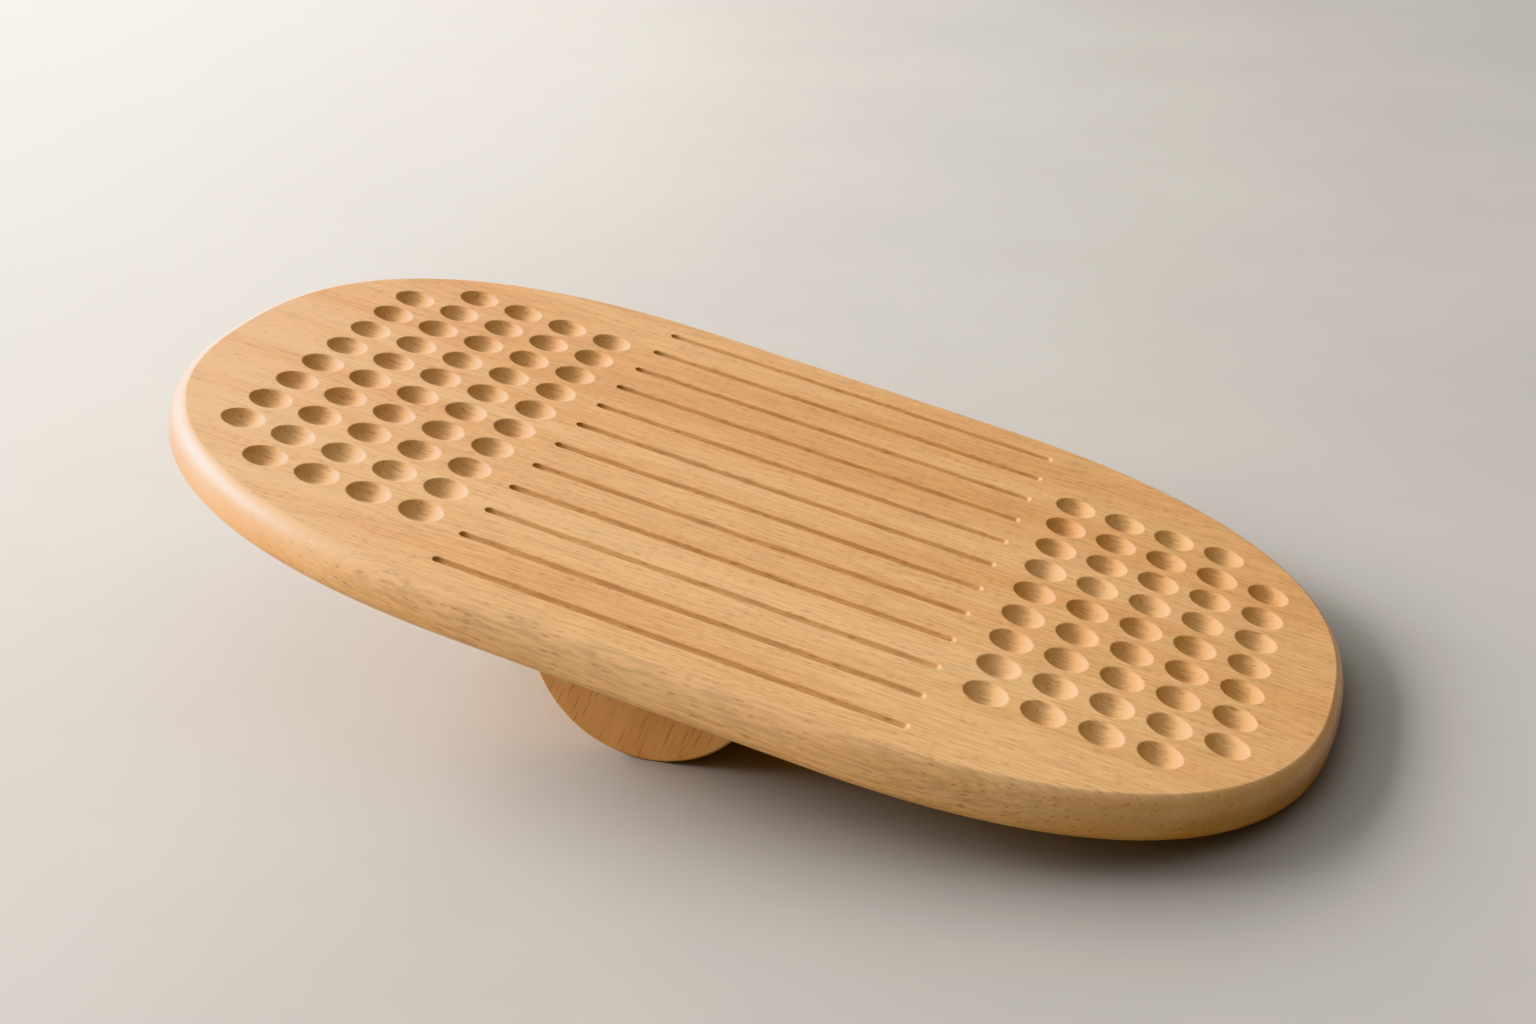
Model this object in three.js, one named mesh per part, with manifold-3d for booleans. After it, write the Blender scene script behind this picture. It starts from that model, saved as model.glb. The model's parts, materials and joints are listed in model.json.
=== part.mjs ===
// A beech balance board: an oval deck with foot-massage dimples and grooves, bolted to a half-round rocker.
// The deck is built level, X along its length, Y across it and Z up, with its top face at Z = 0. The whole
// board is then tilted until the rocker and the low end (+X) both stand on the floor, Z = 0. Millimetres.
import * as THREE from 'three';
import { mergeVertices } from 'three/addons/utils/BufferGeometryUtils.js';
import Module from 'manifold-3d';

const GAP = 0.3; // clearance between two pieces that touch

const DECK = {
  length: 600,
  width: 370,
  thickness: 24,
  capStart: 74, // where the straight sides end and the rounded ends begin, from the centre
  capPower: 2.4, // exponent of the superelliptic ends: 2 is an ellipse
  capSegments: 32, // facets round one end
  topRound: { inset: 6.3, drop: 11 },
  topRoundArc: THREE.MathUtils.degToRad(70), // short of 90, so the round meets the top face at a slight break
  bottomRound: { inset: 8, drop: 8 },
  roundSegments: 4,
};

const PATTERN_SHIFT = 5.7; // how far the grooves and dimples lie towards the low end

const GROOVE = {
  count: 12,
  pitch: 28.75,
  length: 228,
  radius: 2.6,
  depth: 2.2,
  sides: 8,
};

const DIMPLE = {
  pitch: 27.2,
  firstColumn: 137.3, // from the middle of the grooves to the nearest column
  radius: 10.5,
  depth: 4.4,
  sides: 10,
  rings: 2,
  highEnd: [10, 10, 10, 10, 8], // dimples in each column, from the grooves outwards
  lowEnd: [9, 9, 9, 9, 7],
};

const ROCKER = {
  radius: 58.5,
  length: 244,
  axisBelowTop: 31.1, // from the deck's top face down to the axis of the round
  shift: -11.5, // towards the high end
  arcSegments: 56,
};

const BOLT = {
  acrossX: 30, // from the rocker's centre line, clear of the strip that it rolls on
  alongY: 85,
  shankRadius: 3.7,
  length: 45,
  headRadius: 6.5,
  headHeight: 8,
  socketRadius: 3.4,
  socketDepth: 4,
  seatBelowFlat: 32, // depth of the counterbore's floor under the rocker's flat face
  sides: 16,
};
const WASHER = { radius: 8, thickness: 1.6 };
const INSERT = { radius: 6, length: 13 };
const DOWEL = { radius: 5, inDeck: 12, inRocker: 28, alongY: 35, chamfer: 1 };
const PLUG = { radius: 8.2, belowHead: 1.5 }; // closes the counterbore, flush with the rocker's round
const COUNTERBORE_RADIUS = PLUG.radius + GAP;
const HOLE_END_CLEARANCE = 1;

const FAR = 60; // how far a cutter or an oversize blank runs past the face that it cuts

const UNDERSIDE = -DECK.thickness;
const ROCKER_FLAT = UNDERSIDE - GAP;
const ROCKER_AXIS = -ROCKER.axisBelowTop;
const BOLT_SEAT = ROCKER_FLAT - BOLT.seatBelowFlat;
const WASHER_TOP = BOLT_SEAT - GAP;
const HEAD_TOP = WASHER_TOP - WASHER.thickness - GAP;
const HEAD_BOTTOM = HEAD_TOP - BOLT.headHeight;

const wasm = await Module();
wasm.setup();

// ---- solids ------------------------------------------------------------------------------------------

// A closed three.js geometry as a manifold-3d solid.
function toSolid(geometry) {
  const bare = geometry.clone();
  bare.deleteAttribute('normal');
  bare.deleteAttribute('uv');
  const merged = mergeVertices(bare, 1e-5);
  const corners = merged.index.array;
  const triVerts = [];
  for (let i = 0; i < corners.length; i += 3) {
    const [a, b, c] = corners.subarray(i, i + 3);
    if (a !== b && b !== c && c !== a) triVerts.push(a, b, c);
  }
  return new wasm.Manifold(new wasm.Mesh({
    numProp: 3,
    vertProperties: new Float32Array(merged.attributes.position.array),
    triVerts: new Uint32Array(triVerts),
  }));
}

function toGeometry(solid) {
  const mesh = solid.getMesh();
  const geometry = new THREE.BufferGeometry();
  geometry.setAttribute('position', new THREE.BufferAttribute(mesh.vertProperties, 3));
  geometry.setIndex(new THREE.BufferAttribute(mesh.triVerts, 1));
  geometry.computeVertexNormals();
  return geometry;
}

function cut(blank, cutters) {
  let solid = toSolid(blank);
  for (const cutter of cutters) solid = solid.subtract(toSolid(cutter));
  return toGeometry(solid);
}

// A turned solid about a vertical axis: the profile is a list of [radius, height], from the bottom up.
function turned(profile, sides) {
  return new THREE.LatheGeometry(profile.map(([radius, height]) => new THREE.Vector2(radius, height)), sides)
    .rotateX(Math.PI / 2);
}

function rod(radius, bottom, top, sides) {
  return turned([[0, bottom], [radius, bottom], [radius, top], [0, top]], sides);
}

// A turned ring, closed on itself.
function ring(innerRadius, outerRadius, bottom, top, sides) {
  return turned([
    [innerRadius, bottom],
    [outerRadius, bottom],
    [outerRadius, top],
    [innerRadius, top],
    [innerRadius, bottom],
  ], sides);
}

// ---- materials ---------------------------------------------------------------------------------------

const deckBeech = () => new THREE.MeshStandardMaterial({ color: '#d9aa75', roughness: 0.5, metalness: 0 });
const rockerBeech = () => new THREE.MeshStandardMaterial({ color: '#c08a56', roughness: 0.55, metalness: 0 });
const plugBeech = () => new THREE.MeshStandardMaterial({ color: '#a8713f', roughness: 0.55, metalness: 0 });
const dowelBeech = () => new THREE.MeshStandardMaterial({ color: '#d8b184', roughness: 0.7, metalness: 0 });
const zincSteel = () => new THREE.MeshStandardMaterial({ color: '#b9bcc0', roughness: 0.35, metalness: 1 });
const brass = () => new THREE.MeshStandardMaterial({ color: '#c5a24e', roughness: 0.35, metalness: 1 });

// ---- deck --------------------------------------------------------------------------------------------

// The deck's plan: straight sides between two superelliptic ends.
function deckOutline() {
  const reach = DECK.length / 2 - DECK.capStart;
  const half = DECK.width / 2;
  const power = 2 / DECK.capPower;
  const points = [];
  for (const end of [1, -1]) {
    for (let i = 0; i <= DECK.capSegments; i += 1) {
      const angle = -Math.PI / 2 + (Math.PI * i) / DECK.capSegments;
      const along = Math.max(Math.cos(angle), 0) ** power;
      const across = Math.sign(Math.sin(angle)) * Math.abs(Math.sin(angle)) ** power;
      points.push(new THREE.Vector2(end * (DECK.capStart + reach * along), end * half * across));
    }
  }
  return new THREE.Shape(points);
}

// An upright slab of the deck's outline between two heights, with both of its rims rounded.
function roundedSlab(bottom, top, { inset, drop }) {
  const slab = new THREE.ExtrudeGeometry(deckOutline(), {
    depth: top - bottom - 2 * drop,
    bevelThickness: drop,
    bevelSize: inset,
    bevelOffset: -inset,
    bevelSegments: DECK.roundSegments,
  });
  return slab.translate(0, 0, bottom + drop);
}

// The upper rim has a long soft round and the lower rim a plain one, so each comes from its own slab. The
// upper slab's round is a full quarter that runs on above the top face, and is planed off there.
function deckBlank() {
  const { inset, drop } = DECK.topRound;
  const wide = inset / (1 - Math.cos(DECK.topRoundArc));
  const high = drop / Math.sin(DECK.topRoundArc);
  const upper = toSolid(roundedSlab(UNDERSIDE - FAR, high - drop, { inset: wide, drop: high }));
  const lower = toSolid(roundedSlab(UNDERSIDE, FAR, DECK.bottomRound));
  const plane = toSolid(new THREE.BoxGeometry(2 * DECK.length, 2 * DECK.width, FAR).translate(0, 0, FAR / 2));
  return toGeometry(upper.intersect(lower).subtract(plane));
}

function grooveCutter(y) {
  const straight = GROOVE.length - 2 * GROOVE.radius;
  return new THREE.CapsuleGeometry(GROOVE.radius, straight, 2, GROOVE.sides)
    .rotateZ(Math.PI / 2)
    .translate(PATTERN_SHIFT, y, GROOVE.radius - GROOVE.depth);
}

function grooveCutters() {
  const first = (-(GROOVE.count - 1) * GROOVE.pitch) / 2;
  return Array.from({ length: GROOVE.count }, (_, i) => grooveCutter(first + i * GROOVE.pitch));
}

// A shallow spherical cap, continued straight up past the deck's face.
function dimpleCutter(x, y) {
  const sphere = (DIMPLE.radius ** 2 + DIMPLE.depth ** 2) / (2 * DIMPLE.depth);
  const slope = Math.asin(DIMPLE.radius / sphere);
  const profile = [];
  for (let i = 0; i <= DIMPLE.rings; i += 1) {
    const angle = (slope * i) / DIMPLE.rings;
    profile.push([sphere * Math.sin(angle), sphere * (1 - Math.cos(angle)) - DIMPLE.depth]);
  }
  profile.push([DIMPLE.radius, FAR], [0, FAR]);
  return turned(profile, DIMPLE.sides).translate(x, y, 0);
}

function dimpleCutters() {
  const cutters = [];
  for (const [side, columns] of [[-1, DIMPLE.highEnd], [1, DIMPLE.lowEnd]]) {
    columns.forEach((count, column) => {
      const x = PATTERN_SHIFT + side * (DIMPLE.firstColumn + column * DIMPLE.pitch);
      for (let row = 0; row < count; row += 1) {
        cutters.push(dimpleCutter(x, (row - (count - 1) / 2) * DIMPLE.pitch));
      }
    });
  }
  return cutters;
}

// ---- where the fastenings go -------------------------------------------------------------------------

function boltPlaces() {
  const places = [];
  for (const x of [-BOLT.acrossX, BOLT.acrossX]) {
    for (const y of [-BOLT.alongY, BOLT.alongY]) places.push([ROCKER.shift + x, y]);
  }
  return places;
}

const dowelPlaces = () => [[ROCKER.shift, -DOWEL.alongY], [ROCKER.shift, DOWEL.alongY]];

function deckPockets() {
  const insertTop = UNDERSIDE + INSERT.length + HOLE_END_CLEARANCE;
  const dowelTop = UNDERSIDE + DOWEL.inDeck + HOLE_END_CLEARANCE;
  return [
    ...boltPlaces().map(([x, y]) => rod(INSERT.radius + GAP, UNDERSIDE - FAR, insertTop, BOLT.sides)
      .translate(x, y, 0)),
    ...dowelPlaces().map(([x, y]) => rod(DOWEL.radius + GAP, UNDERSIDE - FAR, dowelTop, BOLT.sides)
      .translate(x, y, 0)),
  ];
}

function deck() {
  return cut(deckBlank(), [...grooveCutters(), ...dimpleCutters(), ...deckPockets()]);
}

// ---- rocker ------------------------------------------------------------------------------------------

// A round bar cut flat where it meets the deck, lying across the board.
function rockerBlank() {
  const flatAboveAxis = ROCKER_FLAT - ROCKER_AXIS;
  const start = Math.PI - Math.asin(flatAboveAxis / ROCKER.radius);
  const section = new THREE.Shape();
  section.absarc(0, 0, ROCKER.radius, start, 3 * Math.PI - start, false);
  section.closePath();
  return new THREE.ExtrudeGeometry(section, {
    depth: ROCKER.length,
    bevelEnabled: false,
    curveSegments: ROCKER.arcSegments,
  })
    .rotateX(Math.PI / 2)
    .translate(ROCKER.shift, ROCKER.length / 2, ROCKER_AXIS);
}

function rockerHoles() {
  const holes = [];
  for (const [x, y] of boltPlaces()) {
    holes.push(rod(BOLT.shankRadius + GAP, BOLT_SEAT - FAR, ROCKER_FLAT + FAR, BOLT.sides).translate(x, y, 0));
    holes.push(rod(COUNTERBORE_RADIUS, BOLT_SEAT - FAR, BOLT_SEAT, BOLT.sides).translate(x, y, 0));
  }
  const dowelBottom = ROCKER_FLAT - DOWEL.inRocker - HOLE_END_CLEARANCE;
  for (const [x, y] of dowelPlaces()) {
    holes.push(rod(DOWEL.radius + GAP, dowelBottom, ROCKER_FLAT + FAR, BOLT.sides).translate(x, y, 0));
  }
  return holes;
}

const rocker = () => cut(rockerBlank(), rockerHoles());

// ---- fastenings --------------------------------------------------------------------------------------

// A socket-head cap bolt, head down, with its six-sided socket open below.
function bolt() {
  const rim = 0.6;
  const body = turned([
    [0, HEAD_BOTTOM],
    [BOLT.headRadius - rim, HEAD_BOTTOM],
    [BOLT.headRadius, HEAD_BOTTOM + rim],
    [BOLT.headRadius, HEAD_TOP],
    [BOLT.shankRadius, HEAD_TOP],
    [BOLT.shankRadius, HEAD_TOP + BOLT.length - rim],
    [BOLT.shankRadius - rim, HEAD_TOP + BOLT.length],
    [0, HEAD_TOP + BOLT.length],
  ], BOLT.sides);
  return cut(body, [rod(BOLT.socketRadius, HEAD_BOTTOM - FAR, HEAD_BOTTOM + BOLT.socketDepth, 6)]);
}

function washer() {
  const bore = BOLT.shankRadius + GAP;
  return ring(bore, WASHER.radius, WASHER_TOP - WASHER.thickness, WASHER_TOP, BOLT.sides);
}

function threadedInsert() {
  const bore = BOLT.shankRadius + GAP;
  return ring(bore, INSERT.radius, UNDERSIDE, UNDERSIDE + INSERT.length, BOLT.sides);
}

// A wooden plug whose outer face follows the rocker's round.
function plug([x, y]) {
  const top = HEAD_BOTTOM - PLUG.belowHead;
  const blank = rod(PLUG.radius, top - FAR, top, BOLT.sides).translate(x, y, 0);
  return toGeometry(toSolid(blank).intersect(toSolid(rockerBlank())));
}

function dowel() {
  const bottom = ROCKER_FLAT - DOWEL.inRocker;
  const top = UNDERSIDE + DOWEL.inDeck;
  return turned([
    [0, bottom],
    [DOWEL.radius - DOWEL.chamfer, bottom],
    [DOWEL.radius, bottom + DOWEL.chamfer],
    [DOWEL.radius, top - DOWEL.chamfer],
    [DOWEL.radius - DOWEL.chamfer, top],
    [0, top],
  ], BOLT.sides);
}

// ---- assembly ----------------------------------------------------------------------------------------

function piece(name, geometry, material, [x, y] = [0, 0]) {
  const mesh = new THREE.Mesh(geometry, material);
  mesh.name = name;
  mesh.position.set(x, y, 0);
  return mesh;
}

// The tilt at which one level floor touches both the rocker and the round under the low end. Both are
// circles in the side view, so it is the slope of their common tangent.
function restTilt() {
  const corner = DECK.bottomRound.inset;
  const run = DECK.length / 2 - corner - ROCKER.shift;
  const rise = UNDERSIDE + corner - ROCKER_AXIS;
  return Math.acos((corner - ROCKER.radius) / Math.hypot(run, rise)) - Math.atan2(run, rise);
}

function balanceBoard() {
  const board = new THREE.Group();
  board.add(piece('deck', deck(), deckBeech()));
  board.add(piece('rocker', rocker(), rockerBeech()));
  boltPlaces().forEach((place, i) => {
    board.add(piece(`bolt_${i + 1}`, bolt(), zincSteel(), place));
    board.add(piece(`washer_${i + 1}`, washer(), zincSteel(), place));
    board.add(piece(`threaded_insert_${i + 1}`, threadedInsert(), brass(), place));
    board.add(piece(`plug_${i + 1}`, plug(place), plugBeech()));
  });
  dowelPlaces().forEach((place, i) => board.add(piece(`dowel_${i + 1}`, dowel(), dowelBeech(), place)));
  board.rotation.y = restTilt();
  return board;
}

// The origin is the middle of the board's footprint, on the floor.
function standOnFloor(board) {
  board.updateMatrixWorld(true);
  const box = new THREE.Box3().setFromObject(board, true);
  const centre = box.getCenter(new THREE.Vector3());
  board.position.set(-centre.x, -centre.y, -box.min.z);
  const model = new THREE.Group();
  model.add(board);
  return model;
}

export default standOnFloor(balanceBoard());
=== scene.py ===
"""A beech balance board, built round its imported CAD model.

The shapes are worked out in the deck's own axes: X along the board towards its low end, Y across it, Z up
from the deck's top face. They are then laid on the tilted deck of the CAD model. Metres throughout.
"""
import json
import math

import bpy
import numpy as np
from mathutils import Matrix, Vector
from mathutils.geometry import delaunay_2d_cdt


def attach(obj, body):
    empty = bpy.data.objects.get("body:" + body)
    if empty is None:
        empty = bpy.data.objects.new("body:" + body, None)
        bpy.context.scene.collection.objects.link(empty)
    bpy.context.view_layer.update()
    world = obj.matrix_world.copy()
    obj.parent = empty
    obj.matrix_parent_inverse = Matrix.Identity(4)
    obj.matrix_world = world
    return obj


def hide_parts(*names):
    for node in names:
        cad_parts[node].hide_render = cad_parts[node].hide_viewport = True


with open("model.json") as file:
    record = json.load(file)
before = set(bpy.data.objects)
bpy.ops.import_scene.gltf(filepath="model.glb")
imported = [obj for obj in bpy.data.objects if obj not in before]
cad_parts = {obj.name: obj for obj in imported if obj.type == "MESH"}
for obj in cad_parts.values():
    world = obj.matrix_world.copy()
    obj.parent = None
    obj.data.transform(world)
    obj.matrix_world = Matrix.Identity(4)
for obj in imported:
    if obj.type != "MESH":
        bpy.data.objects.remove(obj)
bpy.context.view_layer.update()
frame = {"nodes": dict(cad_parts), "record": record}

MM = 0.001
TAU = 2 * math.pi

# ---- the deck's place in the frame -------------------------------------------------------------------

TOP = next(m for m in frame["record"]["mounts"] if m["name"] == "deck_top")
DECK_ORIGIN = Vector(TOP["pos_m"])
TILT = math.atan2(TOP["axis"][0], TOP["axis"][2])
DECK_TO_FRAME = Matrix.Translation(DECK_ORIGIN) @ Matrix.Rotation(TILT, 4, "Y")
FRAME_TO_DECK = DECK_TO_FRAME.inverted()

# ---- driving dimensions, as in the CAD model ---------------------------------------------------------

DECK_LENGTH = 600 * MM
DECK_WIDTH = 370 * MM
DECK_THICKNESS = 24 * MM
CAP_START = 74 * MM
CAP_POWER = 2.4
TOP_ROUND = (6.3 * MM, 11 * MM)  # inset, drop
TOP_ROUND_ARC = math.radians(70)
BOTTOM_ROUND = (8 * MM, 8 * MM)
TOP_ROUND_STEPS = 11
BOTTOM_ROUND_STEPS = 8
PATTERN_SHIFT = 5.7 * MM

GROOVES = 12
GROOVE_PITCH = 28.75 * MM
GROOVE_LENGTH = 228 * MM
GROOVE_RADIUS = 2.6 * MM
GROOVE_DEPTH = 2.2 * MM
GROOVE_RIM = 0.5 * MM
GROOVE_STEPS = 46
GROOVE_END_STEPS = 12
GROOVE_CUT_STEPS = 5
GROOVE_RIM_STEPS = 4

DIMPLE_PITCH = 27.2 * MM
DIMPLE_FIRST_COLUMN = 137.3 * MM
DIMPLE_RADIUS = 10.5 * MM
DIMPLE_DEPTH = 4.4 * MM
DIMPLE_RIM = 1.2 * MM
DIMPLE_SIDES = 36
DIMPLE_CUT_STEPS = 7
DIMPLE_RIM_STEPS = 5
HIGH_END_COLUMNS = (10, 10, 10, 10, 8)
LOW_END_COLUMNS = (9, 9, 9, 9, 7)

GAP = 0.3 * MM
ROCKER_RADIUS = 58.5 * MM
ROCKER_LENGTH = 244 * MM
ROCKER_AXIS_Z = -31.1 * MM
ROCKER_X = -11.5 * MM
ROCKER_ROUND = 1.4 * MM
ROCKER_FLAT_Z = -DECK_THICKNESS - GAP

BOLT_ACROSS = 30 * MM
BOLT_ALONG = 85 * MM
BORE_RADIUS = 4 * MM
SEAT_Z = ROCKER_FLAT_Z - 32 * MM
COUNTERBORE_RADIUS = 8.5 * MM
PLUG_RADIUS = 8.2 * MM
PLUG_TOP_Z = SEAT_Z - 11.7 * MM
PLUG_CHAMFER = 0.35 * MM
PLUG_RINGS = (6 * MM, 4 * MM, 2 * MM)  # inner loops that let the plug's face follow the rocker's round
INSERT_HOLE = (6.3 * MM, 14 * MM)  # radius, depth into the deck
DOWEL_HOLE_RADIUS = 5.3 * MM
DOWEL_HOLE_IN_DECK = 13 * MM
DOWEL_HOLE_IN_ROCKER = 29 * MM
DOWEL_ALONG = 35 * MM

FLAT_MARGIN = 0.6 * MM  # a strip of flat face kept round each rim, so that the flats shade as flats
DIMPLE_CUT_TONE_AND_SHADE = 0.10  # how far a dimple takes the darker colour of its cut, painted shade in the recess together with oiled cut wood, where a groove goes all the way
DIMPLE_FADE = 0.5  # the share of the depth over which that colour sets in
GROOVE_FADE = 0.4


# ---- camera ------------------------------------------------------------------------------------------

CAMERA_AT = Vector((0.3225, -1.0003, 0.5438))
LOOK_AT = Vector((-0.0042, 0.0295, 0.0666))
CAMERA_ROLL = math.radians(0.13)
LENS_MM = 53.44
SENSOR_MM = 36


def make_camera():
    camera = bpy.data.objects.new("camera", bpy.data.cameras.new("camera"))
    bpy.context.scene.collection.objects.link(camera)
    camera.data.lens = LENS_MM
    camera.data.sensor_width = SENSOR_MM
    camera.location = CAMERA_AT
    aim = (LOOK_AT - CAMERA_AT).to_track_quat("-Z", "Y").to_matrix()
    camera.rotation_euler = (aim @ Matrix.Rotation(CAMERA_ROLL, 3, "Z")).to_euler()
    bpy.context.scene.camera = camera


make_camera()


# ---- mesh building -----------------------------------------------------------------------------------

SHARP_ANGLE = math.radians(40)  # edges that turn more than this shade as sharp
TINY_AREA = 1e-13  # square metres: a triangle under this is dropped
TOUCHING = 1e-9  # metres: points nearer than this count as one


class Sketch:
    """Points and faces of one piece, gathered loop by loop.

    Two shares go with each point: the first is 1 deep in the cuts, whose colour it darkens both as painted
    shade in the recess and as cut wood that has taken up more oil; polished is 1 on the rubbed upper edge.
    """

    def __init__(self):
        self.points = []
        self.faces = []
        self.cut_tone_and_shade = []
        self.polished = []

    def loop(self, points, cut_tone_and_shade=0.0, polished=0.0):
        first = len(self.points)
        self.points.extend(tuple(p) for p in points)
        self.cut_tone_and_shade.extend([cut_tone_and_shade] * len(points))
        self.polished.extend([polished] * len(points))
        return list(range(first, len(self.points)))

    def bridge(self, below, above, closed=True):
        """Quads between two loops of as many points; seen from outside, below runs left to right."""
        count = len(below)
        for i in range(count if closed else count - 1):
            j = (i + 1) % count
            self.faces.append((below[i], below[j], above[j], above[i]))

    def stack(self, loops):
        for below, above in zip(loops, loops[1:]):
            self.bridge(below, above)

    def disc(self, rim, centre, upward, cut_tone_and_shade=0.0):
        middle = self.loop([centre], cut_tone_and_shade)[0]
        for i, a in enumerate(rim):
            b = rim[(i + 1) % len(rim)]
            self.faces.append((a, b, middle) if upward else (b, a, middle))

    def fill(self, outer, holes, flat_of, upward, spare=()):
        """Triangles between an outer loop and the holes in it; flat_of lays a point in a plane."""
        loops = [outer] + holes
        keys = [k for loop in loops for k in loop] + list(spare)
        where = [Vector(flat_of(self.points[k])) for k in keys]
        edges = []
        first = 0
        for loop in loops:
            count = len(loop)
            edges += [(first + i, first + (i + 1) % count) for i in range(count)]
            first += count
        _, _, triangles, *_ = delaunay_2d_cdt(where, edges, [], 0, TOUCHING)
        shapes = [np.array([flat_of(self.points[k]) for k in loop]) for loop in holes]
        for triangle in triangles:
            corners = np.array([where[i] for i in triangle])
            (ax, ay), (bx, by), (cx, cy) = corners
            area = (bx - ax) * (cy - ay) - (cx - ax) * (by - ay)
            if abs(area) < TINY_AREA or any(inside(corners.mean(0), s) for s in shapes):
                continue
            face = tuple(keys[i] for i in triangle)
            self.faces.append(face if (area > 0) == upward else face[::-1])

    def piece(self, name):
        mesh = bpy.data.meshes.new(name)
        mesh.from_pydata([DECK_TO_FRAME @ Vector(p) for p in self.points], [], self.faces)
        mesh.validate()
        # the first share carries the painted shade of the cuts, together with the darker tone of oiled cut
        # wood
        mesh.attributes.new("cut_tone_and_shade", "FLOAT", "POINT").data.foreach_set("value", self.cut_tone_and_shade)
        mesh.attributes.new("polished", "FLOAT", "POINT").data.foreach_set("value", self.polished)
        mesh.shade_smooth()
        mesh.set_sharp_from_angle(angle=SHARP_ANGLE)
        made = bpy.data.objects.new(name, mesh)
        bpy.context.scene.collection.objects.link(made)
        return made


def inside(point, polygon):
    """Whether a point lies in a polygon: first its box, then a ray to the right."""
    x, y = point
    if (point < polygon.min(0)).any() or (point > polygon.max(0)).any():
        return False
    ax, ay = polygon.T
    bx, by = np.roll(polygon, -1, 0).T
    crossing = (ay > y) != (by > y)
    with np.errstate(divide="ignore", invalid="ignore"):
        at = ax + (y - ay) * (bx - ax) / (by - ay)
    return bool(np.count_nonzero(crossing & (x < at)) % 2)


def plan(point):
    return point[0], point[1]


def circle(x, y, radius, z, sides):
    """Points of a level circle, anticlockwise from above."""
    turns = np.arange(sides) * TAU / sides
    return [(x + radius * math.cos(t), y + radius * math.sin(t), z) for t in turns]


def level_section(radius, depth, rim, steps, rim_steps):
    """From the bottom of a round cut out to the flat beside it: pairs of distance from its middle and height.

    The cut is a circle's arc that goes depth under the face, and its rim is an arc tangent to both.
    """
    middle = radius - depth
    out = math.sqrt((radius + rim) ** 2 - (middle + rim) ** 2)
    lean = math.atan2(out, middle + rim)
    cut = [(radius * math.sin(lean * i / steps), middle - radius * math.cos(lean * i / steps))
           for i in range(steps + 1)]
    edge = []
    for i in range(1, rim_steps + 1):
        angle = lean * (1 - i / rim_steps)
        edge.append((out - rim * math.sin(angle), rim * (math.cos(angle) - 1)))
    return cut + edge + [(out + FLAT_MARGIN, 0.0)]


# ---- deck --------------------------------------------------------------------------------------------

OUTLINE_POINTS = 640
OUTLINE_SAMPLES = 4001  # for each end, from which the even points are read off


def deck_outline():
    """Evenly spaced points round the deck, anticlockwise, and the outward normal at each."""
    reach = DECK_LENGTH / 2 - CAP_START
    angle = np.linspace(-math.pi / 2, math.pi / 2, OUTLINE_SAMPLES)
    power = 2 / CAP_POWER
    along = np.maximum(np.cos(angle), 0) ** power
    across = np.sign(np.sin(angle)) * np.abs(np.sin(angle)) ** power
    end = np.column_stack((CAP_START + reach * along, DECK_WIDTH / 2 * across))
    fine = np.vstack((end, -end, end[:1]))
    run = np.concatenate(([0], np.cumsum(np.linalg.norm(np.diff(fine, axis=0), axis=1))))
    stops = np.linspace(0, run[-1], OUTLINE_POINTS, endpoint=False)
    points = np.column_stack([np.interp(stops, run, fine[:, i]) for i in (0, 1)])
    step = np.roll(points, -1, 0) - np.roll(points, 1, 0)
    normals = np.column_stack((step[:, 1], -step[:, 0]))
    return points, normals / np.linalg.norm(normals, axis=1)[:, None]


def dimple_places():
    places = []
    for side, columns in ((-1, HIGH_END_COLUMNS), (1, LOW_END_COLUMNS)):
        for column, count in enumerate(columns):
            x = PATTERN_SHIFT + side * (DIMPLE_FIRST_COLUMN + column * DIMPLE_PITCH)
            places += [(x, (row - (count - 1) / 2) * DIMPLE_PITCH) for row in range(count)]
    return places


def groove_places():
    return [(i - (GROOVES - 1) / 2) * GROOVE_PITCH for i in range(GROOVES)]


def bolt_places():
    return [(ROCKER_X + i * BOLT_ACROSS, j * BOLT_ALONG) for i in (-1, 1) for j in (-1, 1)]


def dowel_places():
    return [(ROCKER_X, i * DOWEL_ALONG) for i in (-1, 1)]


def add_dimple(sketch, x, y, section):
    """One dimple, from its bottom out; returns its outermost loop."""
    loops = []
    for distance, z in section[1:]:
        # painted shade in the dimple, with the tone of oiled cut wood, growing with depth
        cut_tone_and_shade = DIMPLE_CUT_TONE_AND_SHADE * min(1.0, -z / (DIMPLE_FADE * DIMPLE_DEPTH))
        loops.append(sketch.loop(circle(x, y, distance, z, DIMPLE_SIDES), cut_tone_and_shade))
    for inner, outer in zip(loops, loops[1:]):
        sketch.bridge(outer, inner)
    sketch.disc(loops[0], (x, y, section[0][1]), upward=True, cut_tone_and_shade=DIMPLE_CUT_TONE_AND_SHADE)
    return loops[-1]


def stadium(x, y, half, distance, z):
    """A loop at one distance from a groove's centre line, anticlockwise."""
    stops = np.linspace(-half, half, GROOVE_STEPS)
    turns = np.linspace(-math.pi / 2, math.pi / 2, GROOVE_END_STEPS + 1)[1:-1]
    near = [(x + s, y - distance, z) for s in stops]
    low_end = [(x + half + distance * math.cos(t), y + distance * math.sin(t), z) for t in turns]
    far = [(x - s, y + distance, z) for s in stops]
    high_end = [(x - half - distance * math.cos(t), y - distance * math.sin(t), z) for t in turns]
    return near + low_end + far + high_end


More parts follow.
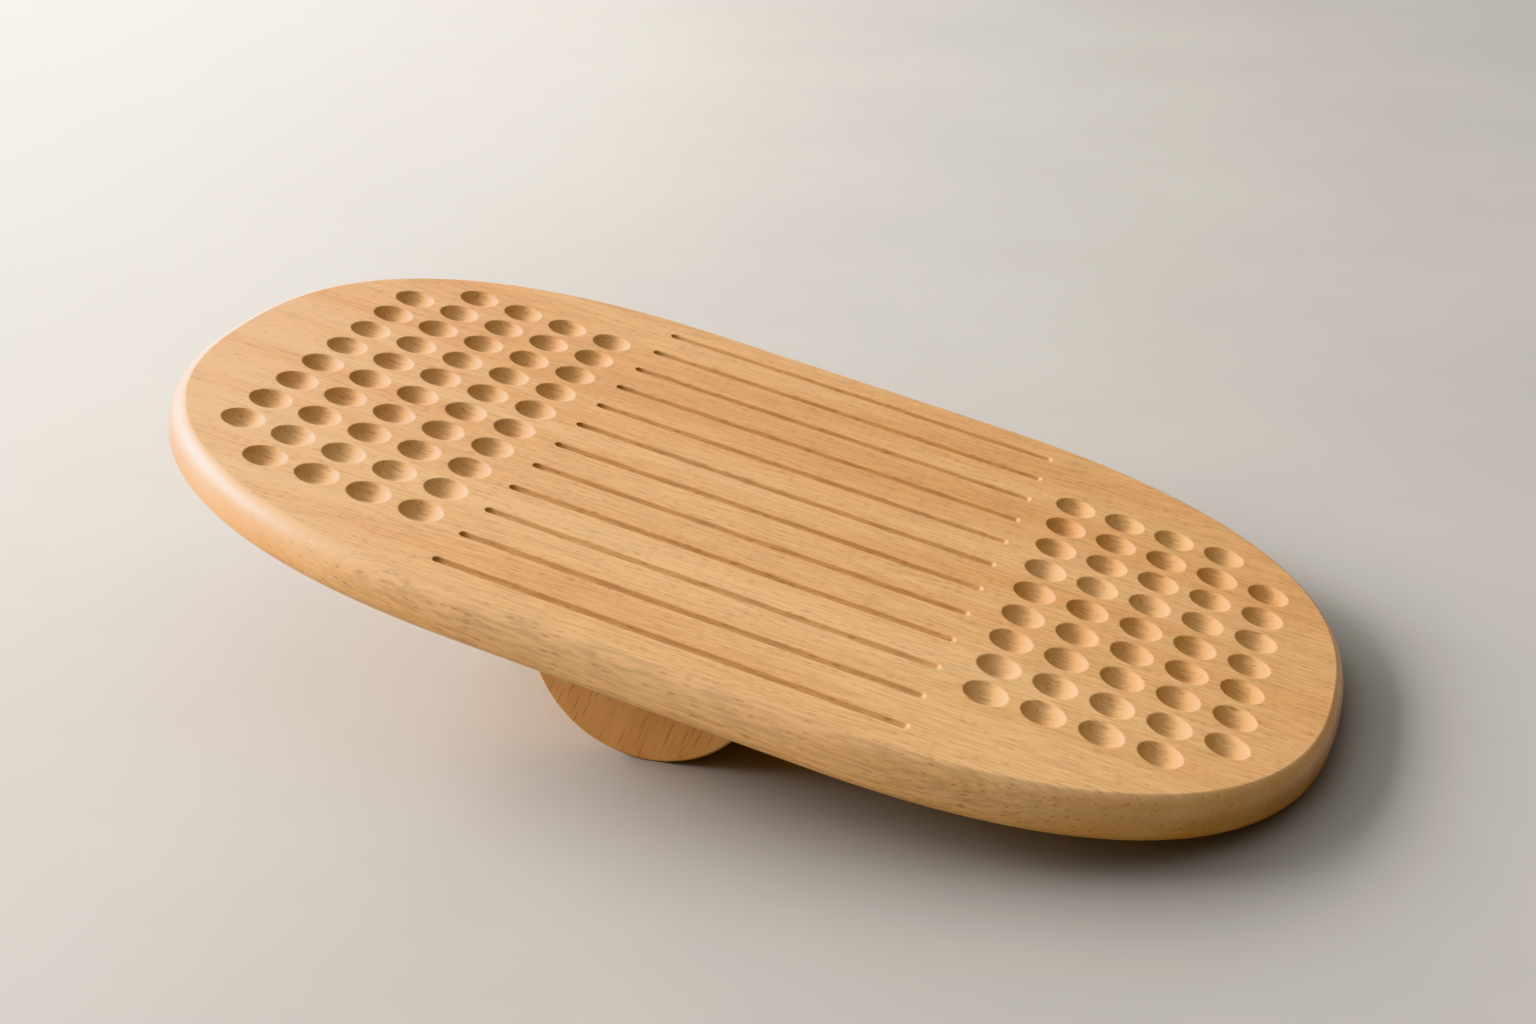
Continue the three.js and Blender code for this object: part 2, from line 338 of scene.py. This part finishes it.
def add_groove(sketch, y, section):
    """One groove, from its keel out; returns its outermost loop."""
    half = GROOVE_LENGTH / 2 - GROOVE_RADIUS
    loops = []
    for distance, z in section[1:]:
        points = stadium(PATTERN_SHIFT, y, half, distance, z)
        # painted shade in the groove, with the tone of oiled cut wood, growing with depth to the full at the
        # keel
        loops.append(sketch.loop(points, min(1.0, -z / (GROOVE_FADE * GROOVE_DEPTH))))
    for inner, outer in zip(loops, loops[1:]):
        sketch.bridge(outer, inner)
    floor = [(PATTERN_SHIFT + s, y, section[0][1]) for s in np.linspace(-half, half, GROOVE_STEPS)]
    keel = sketch.loop(floor, 1.0)
    first = loops[0]
    ends = GROOVE_END_STEPS - 1
    near = first[:GROOVE_STEPS]
    low_end = first[GROOVE_STEPS:GROOVE_STEPS + ends]
    far = first[GROOVE_STEPS + ends:2 * GROOVE_STEPS + ends]
    high_end = first[2 * GROOVE_STEPS + ends:]
    sketch.bridge(near, keel, closed=False)
    sketch.bridge(far, keel[::-1], closed=False)
    low_rim = [near[-1], *low_end, far[0]]
    high_rim = [far[-1], *high_end, near[0]]
    for rim, middle in ((low_rim, keel[-1]), (high_rim, keel[0])):
        for a, b in zip(rim, rim[1:]):
            sketch.faces.append((a, b, middle))
    return loops[-1]


def add_pocket(sketch, x, y, radius, bottom_z, top_z, sides=32):
    """A blind hole into the deck's underside; returns its mouth."""
    mouth = sketch.loop(circle(x, y, radius, bottom_z, sides))
    top = sketch.loop(circle(x, y, radius, top_z, sides))
    sketch.bridge(top, mouth)
    sketch.disc(top, (x, y, top_z), upward=False)
    return mouth


def edge_profile():
    """The deck's rim from the underside up: pairs of inset from the outline and height.

    The upper round is an ellipse's arc that meets the flat face at a slight break, as a cutter leaves it.
    """
    inset, drop = BOTTOM_ROUND
    profile = [(inset + FLAT_MARGIN, -DECK_THICKNESS)]
    for angle in np.linspace(0, math.pi / 2, BOTTOM_ROUND_STEPS + 1):
        profile.append((inset * (1 - math.sin(angle)), -DECK_THICKNESS + drop * (1 - math.cos(angle))))
    inset, drop = TOP_ROUND
    wide = inset / (1 - math.cos(TOP_ROUND_ARC))
    high = drop / math.sin(TOP_ROUND_ARC)
    for angle in np.linspace(0, TOP_ROUND_ARC, TOP_ROUND_STEPS + 1):
        profile.append((wide * (1 - math.cos(angle)), high * math.sin(angle) - drop))
    return profile + [(inset + FLAT_MARGIN, 0.0)]


def make_deck():
    sketch = Sketch()
    outline, normals = deck_outline()
    rim = []
    for inset, z in edge_profile():
        points = np.column_stack((outline - inset * normals, np.full(len(outline), z)))
        on_upper_round = z > -DECK_THICKNESS / 2 and inset <= TOP_ROUND[0]
        rim.append(sketch.loop(points, polished=float(on_upper_round)))
    sketch.stack(rim)

    sphere = (DIMPLE_RADIUS ** 2 + DIMPLE_DEPTH ** 2) / (2 * DIMPLE_DEPTH)
    round_cut = level_section(sphere, DIMPLE_DEPTH, DIMPLE_RIM, DIMPLE_CUT_STEPS, DIMPLE_RIM_STEPS)
    long_cut = level_section(GROOVE_RADIUS, GROOVE_DEPTH, GROOVE_RIM, GROOVE_CUT_STEPS, GROOVE_RIM_STEPS)
    holes = [add_dimple(sketch, x, y, round_cut) for x, y in dimple_places()]
    holes += [add_groove(sketch, y, long_cut) for y in groove_places()]
    sketch.fill(rim[-1], holes, plan, upward=True)

    radius, depth = INSERT_HOLE
    pockets = [add_pocket(sketch, x, y, radius, -DECK_THICKNESS, depth - DECK_THICKNESS)
               for x, y in bolt_places()]
    pockets += [add_pocket(sketch, x, y, DOWEL_HOLE_RADIUS, -DECK_THICKNESS,
                           DOWEL_HOLE_IN_DECK - DECK_THICKNESS) for x, y in dowel_places()]
    sketch.fill(rim[0], pockets, plan, upward=False)
    return sketch.piece("beech_deck")


# ---- rocker ------------------------------------------------------------------------------------------

ARC_STEPS = 120
ALONG_STEPS = 30
ARRIS_STEPS = 5
MOUTH_MARGIN = 1.2 * MM  # the round's inner points keep this far from the mouths of its holes


def arc_half_angle(radius):
    """From straight down to where a round of this radius meets the rocker's flat face."""
    return math.pi / 2 + math.asin((ROCKER_FLAT_Z - ROCKER_AXIS_Z) / radius)


def on_round(angle, y, radius=ROCKER_RADIUS):
    return ROCKER_X + radius * math.sin(angle), y, ROCKER_AXIS_Z - radius * math.cos(angle)


def arc_loop(sketch, y, radius):
    half = arc_half_angle(radius)
    return sketch.loop([on_round(a, y, radius) for a in np.linspace(-half, half, ARC_STEPS + 1)])


def unrolled(point):
    """A point on the round, laid flat: its distance round the arc, and y."""
    x, y, z = point
    return math.atan2(x - ROCKER_X, ROCKER_AXIS_Z - z) * ROCKER_RADIUS, y


def drop_to_round(x, y):
    """The point of the round straight under a point of the plan."""
    return x, y, ROCKER_AXIS_Z - math.sqrt(ROCKER_RADIUS ** 2 - (x - ROCKER_X) ** 2)


def add_bolt_hole(sketch, x, y, sides=48):
    """The counterbore and bore of one bolt: returns its mouths in the round and in the flat."""
    mouth = sketch.loop([drop_to_round(px, py) for px, py, _ in circle(x, y, COUNTERBORE_RADIUS, 0, sides)])
    seat = sketch.loop(circle(x, y, COUNTERBORE_RADIUS, SEAT_Z, sides))
    bore = sketch.loop(circle(x, y, BORE_RADIUS, SEAT_Z, sides))
    top = sketch.loop(circle(x, y, BORE_RADIUS, ROCKER_FLAT_Z, sides))
    for below, above in ((mouth, seat), (seat, bore), (bore, top)):
        sketch.bridge(above, below)
    return mouth, top


def add_dowel_hole(sketch, x, y, sides=32):
    bottom_z = ROCKER_FLAT_Z - DOWEL_HOLE_IN_ROCKER
    bottom = sketch.loop(circle(x, y, DOWEL_HOLE_RADIUS, bottom_z, sides))
    top = sketch.loop(circle(x, y, DOWEL_HOLE_RADIUS, ROCKER_FLAT_Z, sides))
    sketch.bridge(top, bottom)
    sketch.disc(bottom, (x, y, bottom_z), upward=True)
    return top


def add_rocker_end(sketch, side):
    """The softened arris and the flat face of one end; returns its arcs, from the round inwards."""
    arcs = []
    for angle in np.linspace(0, math.pi / 2, ARRIS_STEPS + 1):
        y = side * (ROCKER_LENGTH / 2 - ROCKER_ROUND * (1 - math.sin(angle)))
        arcs.append(arc_loop(sketch, y, ROCKER_RADIUS - ROCKER_ROUND * (1 - math.cos(angle))))
    for outer, inner in zip(arcs, arcs[1:]):
        below, above = (inner, outer) if side < 0 else (outer, inner)
        sketch.bridge(below, above, closed=False)
    face = arcs[-1]
    sketch.faces.append(tuple(face if side < 0 else face[::-1]))
    return arcs


def add_round_points(sketch, rows, mouths):
    """Points spread over the rocker's round, clear of the mouths of its holes."""
    shapes = [np.array([unrolled(sketch.points[k]) for k in mouth]) for mouth in mouths]
    half = arc_half_angle(ROCKER_RADIUS)
    keys = []
    for y in rows:
        for angle in np.linspace(-half, half, ARC_STEPS + 1)[1:-1]:
            place = np.array((angle * ROCKER_RADIUS, y))
            clear = all(np.linalg.norm(s - place, axis=1).min() > MOUTH_MARGIN for s in shapes)
            if clear and not any(inside(place, s) for s in shapes):
                keys += sketch.loop([on_round(angle, y)])
    return keys


def make_rocker():
    sketch = Sketch()
    near_arcs = add_rocker_end(sketch, -1)
    far_arcs = add_rocker_end(sketch, 1)
    bolt_holes = [add_bolt_hole(sketch, x, y) for x, y in bolt_places()]
    mouths = [mouth for mouth, _ in bolt_holes]
    tops = [top for _, top in bolt_holes]
    tops += [add_dowel_hole(sketch, x, y) for x, y in dowel_places()]

    half = arc_half_angle(ROCKER_RADIUS)
    reach = ROCKER_LENGTH / 2 - ROCKER_ROUND
    rows = np.linspace(-reach, reach, ALONG_STEPS + 1)[1:-1]
    left = sketch.loop([on_round(-half, y) for y in rows])
    right = sketch.loop([on_round(half, y) for y in rows])
    inner = add_round_points(sketch, rows, mouths)
    round_rim = near_arcs[0] + right + far_arcs[0][::-1] + left[::-1]
    sketch.fill(round_rim, mouths, unrolled, upward=True, spare=inner)

    near_left = [arc[0] for arc in near_arcs]
    near_right = [arc[-1] for arc in near_arcs]
    far_left = [arc[0] for arc in far_arcs]
    far_right = [arc[-1] for arc in far_arcs]
    flat_rim = near_left[::-1] + left + far_left + far_right[::-1] + right[::-1] + near_right
    sketch.fill(flat_rim[::-1], tops, plan, upward=True)
    return sketch.piece("beech_rocker")


def make_plug(name, x, y, sides=48):
    """A plug with its outer face on the rocker's round and a small chamfer."""
    sketch = Sketch()
    top = sketch.loop(circle(x, y, PLUG_RADIUS, PLUG_TOP_Z, sides))
    rim = sketch.loop([(px, py, drop_to_round(px, py)[2] + PLUG_CHAMFER)
                       for px, py, _ in circle(x, y, PLUG_RADIUS, 0, sides)])
    rings = [rim]
    for radius in (PLUG_RADIUS - PLUG_CHAMFER, *PLUG_RINGS):
        rings.append(sketch.loop([drop_to_round(px, py) for px, py, _ in circle(x, y, radius, 0, sides)]))
    sketch.bridge(rim, top)
    for outer, inner in zip(rings, rings[1:]):
        sketch.bridge(inner, outer)
    sketch.disc(rings[-1], drop_to_round(x, y), upward=False)
    sketch.disc(top, (x, y, PLUG_TOP_Z), upward=True)
    return sketch.piece(name)


# ---- materials ---------------------------------------------------------------------------------------

class Nodes:
    """A node tree, built by short calls."""

    def __init__(self, tree):
        self.tree = tree

    def node(self, kind, inputs=None, **settings):
        made = self.tree.nodes.new("ShaderNode" + kind)
        for key, value in settings.items():
            setattr(made, key, value)
        for key, value in (inputs or {}).items():
            self.feed(made.inputs[key], value)
        return made

    def feed(self, socket, value):
        if isinstance(value, bpy.types.NodeSocket):
            self.tree.links.new(value, socket)
        else:
            socket.default_value = value

    def math(self, operation, a, b=0.0):
        return self.node("Math", {0: a, 1: b}, operation=operation).outputs[0]

    def dot(self, vector, axis):
        return self.node("VectorMath", {0: vector, 1: axis}, operation="DOT_PRODUCT").outputs["Value"]

    def scaled(self, vector, x, y, z):
        return self.node("VectorMath", {0: vector, 1: (x, y, z)}, operation="MULTIPLY").outputs[0]

    def noise(self, vector, detail=2.0, roughness=0.5):
        settings = {"Vector": vector, "Scale": 1.0, "Detail": detail, "Roughness": roughness}
        return self.node("TexNoise", settings).outputs["Fac"]

    def between(self, value, low, high, to_low=0.0, to_high=1.0):
        """A smooth step as the value goes from low to high."""
        settings = {"Value": value, "From Min": low, "From Max": high, "To Min": to_low, "To Max": to_high}
        return self.node("MapRange", settings, interpolation_type="SMOOTHSTEP").outputs["Result"]

    def grey(self, value):
        return self.node("CombineColor", {0: value, 1: value, 2: value}).outputs[0]

    def mix(self, share, a, b, blend="MIX"):
        made = self.node("Mix", data_type="RGBA", blend_type=blend)
        for socket, value in ((made.inputs[0], share), (made.inputs[6], a), (made.inputs[7], b)):
            self.feed(socket, value)
        return made.outputs[2]

    def stained(self, colour, stain, share):
        """The colour multiplied by a stain, by a share."""
        return self.mix(share, colour, self.mix(1.0, colour, stain, "MULTIPLY"))


class Shader(Nodes):
    """A material and its node tree."""

    def __init__(self, name):
        self.material = bpy.data.materials.new(name)
        self.material.use_nodes = True
        super().__init__(self.material.node_tree)
        self.surface = self.tree.nodes["Principled BSDF"]

    def attribute(self, name):
        return self.node("Attribute", attribute_name=name).outputs["Fac"]

    def finish(self, colour, roughness, height, bump_distance, bump_strength):
        bump = self.node("Bump", {"Height": height, "Distance": bump_distance, "Strength": bump_strength})
        self.feed(self.surface.inputs["Base Color"], colour)
        self.feed(self.surface.inputs["Roughness"], roughness)
        self.feed(self.surface.inputs["Normal"], bump.outputs[0])


def linear(red, green, blue):
    """A colour given as 0 to 255 screen values, as the linear light that nodes use."""
    parts = [v / 255 for v in (red, green, blue)]
    return tuple(p / 12.92 if p <= 0.04045 else ((p + 0.055) / 1.055) ** 2.4 for p in parts) + (1.0,)


DECK_WOOD = {"pale": linear(220, 174, 121), "deep": linear(206, 150, 95)}
ROCKER_WOOD = {"pale": linear(236, 188, 136), "deep": linear(214, 157, 103)}
PLUG_WOOD = {"pale": linear(206, 156, 104), "deep": linear(186, 130, 78)}
DOWEL_WOOD = {"pale": linear(222, 184, 140), "deep": linear(204, 156, 108)}
STEEL = linear(188, 190, 194)
BRASS = linear(198, 164, 84)

# Stains, which darken the wood that they fall on.
FLECK = (0.68, 0.55, 0.45, 1.0)
END_GRAIN = (0.80, 0.74, 0.68, 1.0)
# Painted shade in the dimples and grooves, deepest at their bottoms, which also stands for cut wood darkened
# by oil.
CUT_TONE_AND_SHADE = (0.77, 0.73, 0.65, 1.0)
FLECK_SHARE = 0.68

# How often the patterns repeat in a metre: along the grain, round the rings and out from the pith. Hairs are
# the fibres and pores, and flecks the ends of the rays. Their outward pace differs from cut to cut.
DRIFT = (2.2, 14, 9)
BANDS = (4, 60, 25)
HAIRS = (50, 900)
FLECKS = (165, 1050)
DRIFT_SHARE = 0.55
BANDS_SHARE = 0.45

# Smooth steps: where each starts and ends and, if not 0 and 1, what it gives there.
TONE_STEP = (0.30, 0.72)
HAIR_STEP = (0.34, 0.68, 1.09, 0.84)
HAIR_FADE = (0.08, 0.45, 1.0, 0.25)  # hairs weaken where the wood is cut across
SPINDLE_STEP = (0.46, 0.20)
SPINDLE_CHOICE = (0.45, 0.95)
END_GRAIN_STEP = (0.5, 1.0)
SATIN = (0.3, 0.7, 0.50, 0.58)
COAT = (0, 1, 0.25, 1.0)
FLECK_ROUGHNESS = 0.10
HAIR_HEIGHT = -0.8

TOOL_MARKS = (300, 300, 2600)
MOTTLE = (160, 160, 160)
MOTTLE_STEP = (0.3, 0.7, 0.82, 1.06)
POLISH_RANGE = 0.15  # how much rougher a metal is where the tool marked it most


def wood_axes(grain, radial):
    """The turn and shift that take a point of the frame to grain (X), tangential (Y) and radial (Z) axes."""
    along = Vector(grain).normalized()
    out = Vector(radial)
    out = (out - out.dot(along) * along).normalized()
    turn = Matrix((along, out.cross(along), out)).to_4x4() @ FRAME_TO_DECK
    return turn.to_translation(), turn.to_euler("XYZ")


def ring_tone(shader, wood):
    """The log's slow changes and its growth rings: low where it is pale."""
    drift = shader.noise(shader.scaled(wood, *DRIFT), 2.0)
    bands = shader.noise(shader.scaled(wood, *BANDS), 1.0)
    drift = shader.math("MULTIPLY", drift, DRIFT_SHARE)
    return shader.math("ADD", drift, shader.math("MULTIPLY", bands, BANDS_SHARE))


def ray_flecks(shader, wood, fleck_ray):
    """Small spindles, 1 in their middles, of which some are faint or missing."""
    cells = shader.node("TexVoronoi", {"Vector": shader.scaled(wood, *FLECKS, fleck_ray), "Scale": 1.0})
    spindle = shader.between(cells.outputs["Distance"], *SPINDLE_STEP)
    chosen = shader.node("SeparateColor", {0: cells.outputs["Color"]}).outputs[0]
    return shader.math("MULTIPLY", spindle, shader.between(chosen, *SPINDLE_CHOICE))


def beech(name, grain, radial, pale, deep, ray=450, fleck_ray=600, offset=0.0):
    """Oiled beech as a solid texture, so that faces, rims and ends all show the same log.

    In the wood's own axes X runs along the grain, Y round the rings and Z out from the pith.
    """
    shader = Shader(name)
    place = shader.node("TexCoord")
    shift, turn = wood_axes(grain, radial)
    shift += Vector((offset, 0, 0))
    mapping = {"Vector": place.outputs["Object"], "Location": shift, "Rotation": turn}
    wood = shader.node("Mapping", mapping).outputs[0]
    grain_line = DECK_TO_FRAME.to_3x3() @ Vector(grain).normalized()
    across = shader.math("ABSOLUTE", shader.dot(place.outputs["Normal"], grain_line))

    colour = shader.mix(shader.between(ring_tone(shader, wood), *TONE_STEP), pale, deep)
    hairs = shader.noise(shader.scaled(wood, *HAIRS, ray), 2.0, 0.65)
    hair_tone = shader.grey(shader.between(hairs, *HAIR_STEP))
    colour = shader.stained(colour, hair_tone, shader.between(across, *HAIR_FADE))
    flecks = ray_flecks(shader, wood, fleck_ray)
    colour = shader.stained(colour, FLECK, shader.math("MULTIPLY", flecks, FLECK_SHARE))
    colour = shader.stained(colour, END_GRAIN, shader.between(across, *END_GRAIN_STEP))
    # painted shade in the cuts, growing with depth, together with the darker tone of oiled cut wood
    colour = shader.stained(colour, CUT_TONE_AND_SHADE, shader.attribute("cut_tone_and_shade"))

    satin = shader.between(hairs, *SATIN)
    roughness = shader.math("ADD", satin, shader.math("MULTIPLY", flecks, FLECK_ROUGHNESS))
    height = shader.math("SUBTRACT", shader.math("MULTIPLY", hairs, HAIR_HEIGHT), flecks)
    shader.finish(colour, roughness, height, bump_distance=0.08 * MM, bump_strength=0.5)
    shader.surface.inputs["Specular IOR Level"].default_value = 0.4
    shader.feed(shader.surface.inputs["Coat Weight"], shader.between(shader.attribute("polished"), *COAT))
    shader.surface.inputs["Coat Roughness"].default_value = 0.35
    return shader.material


def metal(name, colour, smoothest):
    """Plated or turned metal: fine tool marks round the piece and a faint mottling."""
    shader = Shader(name)
    place = shader.node("TexCoord").outputs["Object"]
    marks = shader.noise(shader.scaled(place, *TOOL_MARKS), 2.0)
    mottle = shader.noise(shader.scaled(place, *MOTTLE), 3.0)
    tone = shader.grey(shader.between(mottle, *MOTTLE_STEP))
    roughness = shader.between(marks, 0.3, 0.7, smoothest, smoothest + POLISH_RANGE)
    shader.finish(shader.mix(1.0, colour, tone, "MULTIPLY"), roughness, marks,
                  bump_distance=0.03 * MM, bump_strength=0.4)
    shader.surface.inputs["Metallic"].default_value = 1.0
    return shader.material


def dress(piece, material):
    piece.data.materials.clear()
    piece.data.materials.append(material)


# ---- the pieces --------------------------------------------------------------------------------------

RING_SLOPE = math.radians(13.6)  # from the rocker's upright to the run of its rays


def make_pieces():
    deck = make_deck()
    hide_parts("deck")
    dress(deck, beech("deck_beech", grain=(1, 0.04, 0), radial=(0, 0.55, 0.83), offset=0.23, **DECK_WOOD))

    rocker = make_rocker()
    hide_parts("rocker")
    ray_line = (math.sin(RING_SLOPE), 0, math.cos(RING_SLOPE))
    dress(rocker, beech("rocker_beech", grain=(0, 1, 0), radial=ray_line, ray=70, fleck_ray=56, offset=0.4,
                        **ROCKER_WOOD))
    pieces = [deck, rocker]

    plug_wood = beech("plug_beech", grain=(0, 0.9, 0.1), radial=(1, 0, 0.3), ray=70, fleck_ray=56,
                      offset=0.9, **PLUG_WOOD)
    for i, (x, y) in enumerate(bolt_places(), 1):
        plug = make_plug(f"beech_plug_{i}", x, y)
        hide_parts(f"plug_{i}")
        dress(plug, plug_wood)
        pieces.append(plug)
    for piece in pieces:
        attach(piece, "root")


def dress_cad_nodes():
    dowel_wood = beech("dowel_beech", grain=(0, 0, 1), radial=(1, 0, 0), offset=0.6, **DOWEL_WOOD)
    zinc_steel = metal("zinc_steel", STEEL, smoothest=0.28)
    finishes = {
        "bolt": zinc_steel,
        "washer": zinc_steel,
        "threaded_insert": metal("turned_brass", BRASS, smoothest=0.26),
        "dowel": dowel_wood,
    }
    for name, node in frame["nodes"].items():
        for start, finish in finishes.items():
            if name.startswith(start):
                dress(node, finish)


make_pieces()
dress_cad_nodes()


# ---- stage -------------------------------------------------------------------------------------------

FLOOR_REACH = 4  # metres from the middle to each edge of the floor
FLOOR_COLOUR = linear(157, 152, 145)

SKY_LOBES = (
    ((-1, 0, 0.3), 1.34),
    ((-0.8, -0.8, 0.3), 0.45),
    ((-0.8, 0.8, 0.3), 0.37),
    ((1, 0, 0.3), 0.14),
    ((0, 0, 1), 0.59),
)

WINDOW_AZIMUTH = math.radians(-4)  # in front of the board's high end
WINDOW_ELEVATION = math.radians(27)
WINDOW_DISTANCE = 4.5
WINDOW_SIZE = (3.5, 2.0)
WINDOW_POWER = 436
BOARD_MIDDLE = (0, 0, 0.05)

CARD_AT = (-2.0, 1.1, 0.6)  # a white card behind the high end, which the rounded edge mirrors
CARD_SIZE = (2.6, 1.6)
CARD_POWER = 60
HIGH_END = (-0.2, 0, 0.1)


def make_floor():
    """A plain pale floor, faintly clouded."""
    shader = Shader("floor")
    place = shader.node("TexCoord").outputs["Object"]
    cloud = shader.noise(shader.scaled(place, 3, 3, 3), 4.0, 0.6)
    tone = shader.grey(shader.between(cloud, 0.3, 0.7, 0.97, 1.03))
    shader.feed(shader.surface.inputs["Base Color"], shader.mix(1.0, FLOOR_COLOUR, tone, "MULTIPLY"))
    shader.surface.inputs["Roughness"].default_value = 0.85

    mesh = bpy.data.meshes.new("floor")
    corners = [(x * FLOOR_REACH, y * FLOOR_REACH, 0) for x, y in ((-1, -1), (1, -1), (1, 1), (-1, 1))]
    mesh.from_pydata(corners, [], [(0, 1, 2, 3)])
    floor = bpy.data.objects.new("floor", mesh)
    bpy.context.scene.collection.objects.link(floor)
    dress(floor, shader.material)


def area_light(name, at, towards, size, power):
    light = bpy.data.objects.new(name, bpy.data.lights.new(name, "AREA"))
    bpy.context.scene.collection.objects.link(light)
    light.location = at
    light.rotation_euler = (Vector(towards) - Vector(at)).to_track_quat("-Z", "Y").to_euler()
    light.data.shape = "RECTANGLE"
    light.data.size, light.data.size_y = size
    light.data.energy = power
    light.visible_camera = False


def make_sky():
    """A studio that glows most on the left: the sum of soft lobes, each a direction and its brightness."""
    world = bpy.data.worlds.new("studio")
    bpy.context.scene.world = world
    world.use_nodes = True
    sky = Nodes(world.node_tree)
    direction = sky.node("TexCoord").outputs["Generated"]
    glow = 0.0
    for axis, brightness in SKY_LOBES:
        toward = sky.math("MAXIMUM", sky.dot(direction, Vector(axis).normalized()), 0.0)
        lobe = sky.math("MULTIPLY", sky.math("MULTIPLY", toward, toward), brightness)
        glow = sky.math("ADD", glow, lobe)
    sky.feed(sky.tree.nodes["Background"].inputs["Color"], glow)


def make_lights():
    reach = WINDOW_DISTANCE * math.cos(WINDOW_ELEVATION)
    window_at = (
        -reach * math.cos(WINDOW_AZIMUTH),
        reach * math.sin(WINDOW_AZIMUTH),
        WINDOW_DISTANCE * math.sin(WINDOW_ELEVATION),
    )
    area_light("window", window_at, BOARD_MIDDLE, WINDOW_SIZE, WINDOW_POWER)
    area_light("card", CARD_AT, HIGH_END, CARD_SIZE, CARD_POWER)
    make_sky()


make_floor()
make_lights()
bpy.context.scene.view_settings.view_transform = "Khronos PBR Neutral"
